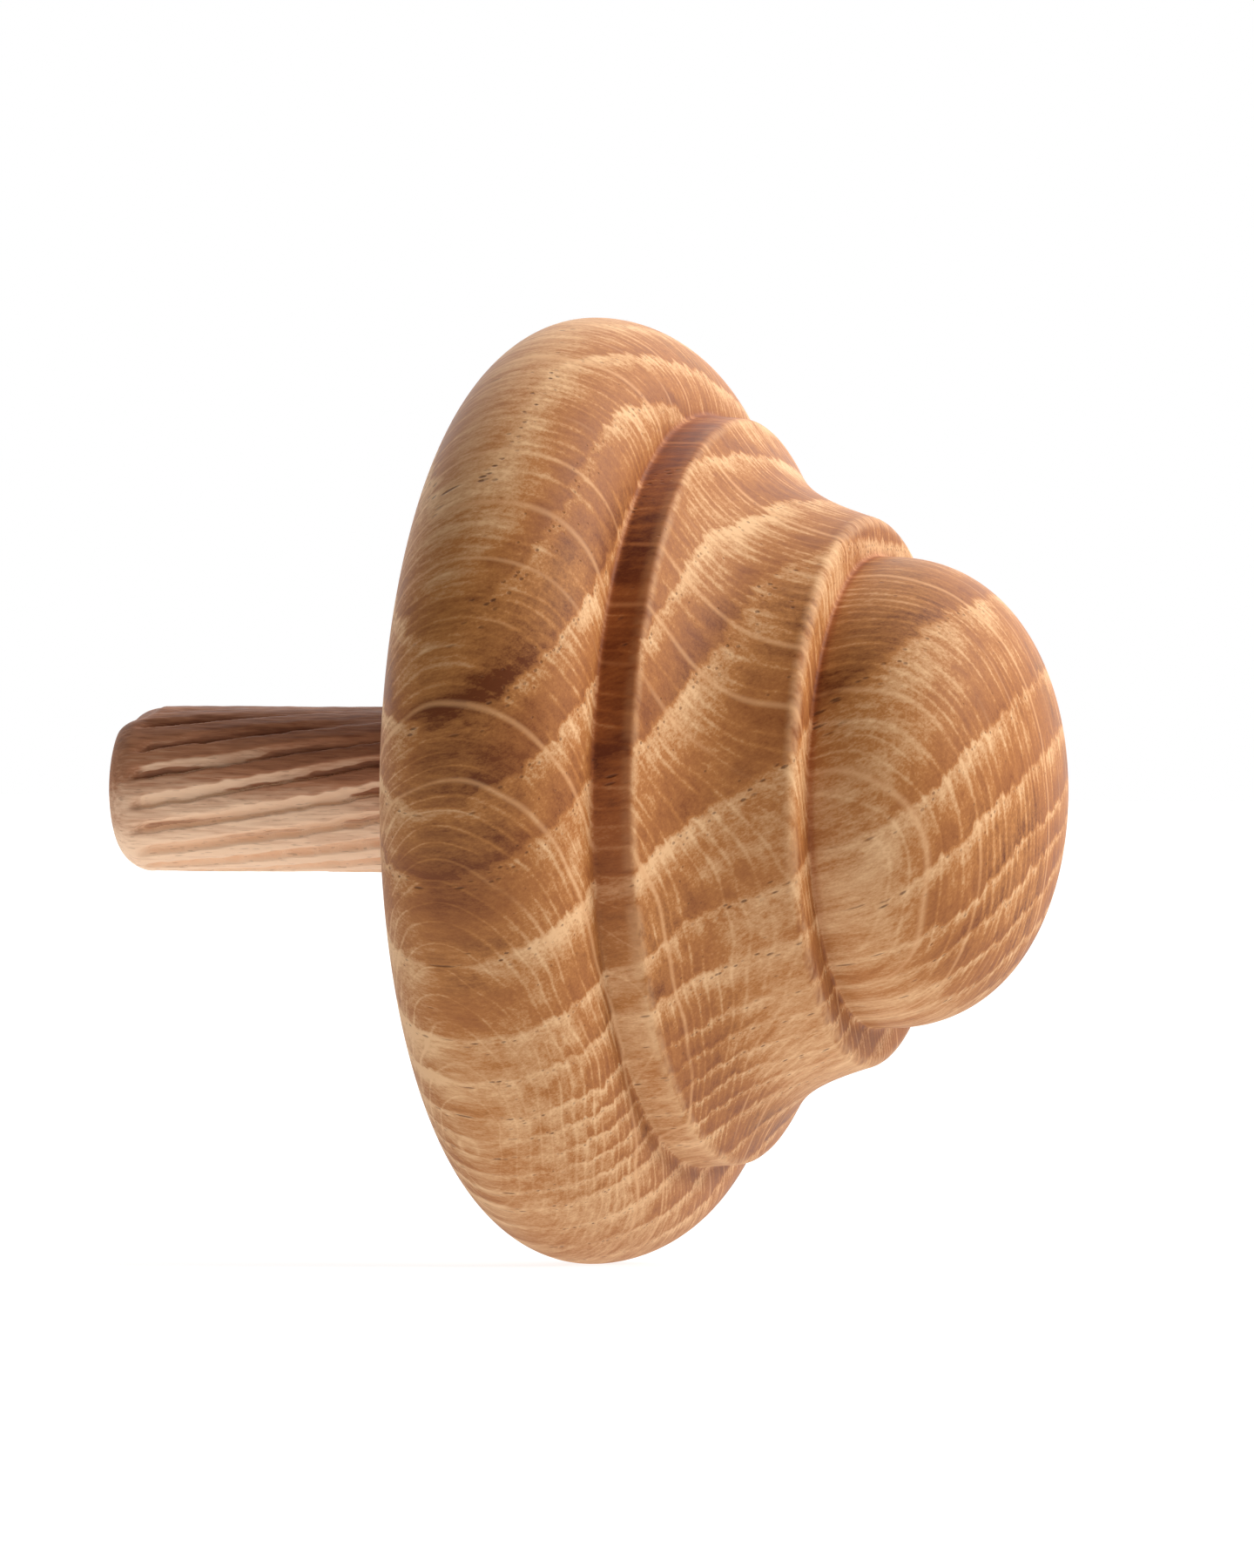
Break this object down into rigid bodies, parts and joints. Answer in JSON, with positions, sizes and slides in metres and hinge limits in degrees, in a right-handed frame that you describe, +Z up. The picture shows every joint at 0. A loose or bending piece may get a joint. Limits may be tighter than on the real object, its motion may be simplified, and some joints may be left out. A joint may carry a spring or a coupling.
{
  "type": "spinning-top finial",
  "caption": "Turned oak head like a spinning top, a stepped disc ending in a ball, on a spiral-fluted dowel that plugs it into a hole.",
  "frame": {"origin": "centre of the head's flat back face, where the dowel leaves it", "axes": "+X along the lathe axis towards the ball, -X along the dowel, +Z up"},
  "size_m": [0.0695, 0.068, 0.068],
  "materials": {
    "oak": "sanded and oiled, satin",
    "beech": "raw, pressed flutes"
  },
  "bodies": {
    "root": {"turned_head": "oak", "fluted_dowel": "beech"}
  },
  "joints": []
}
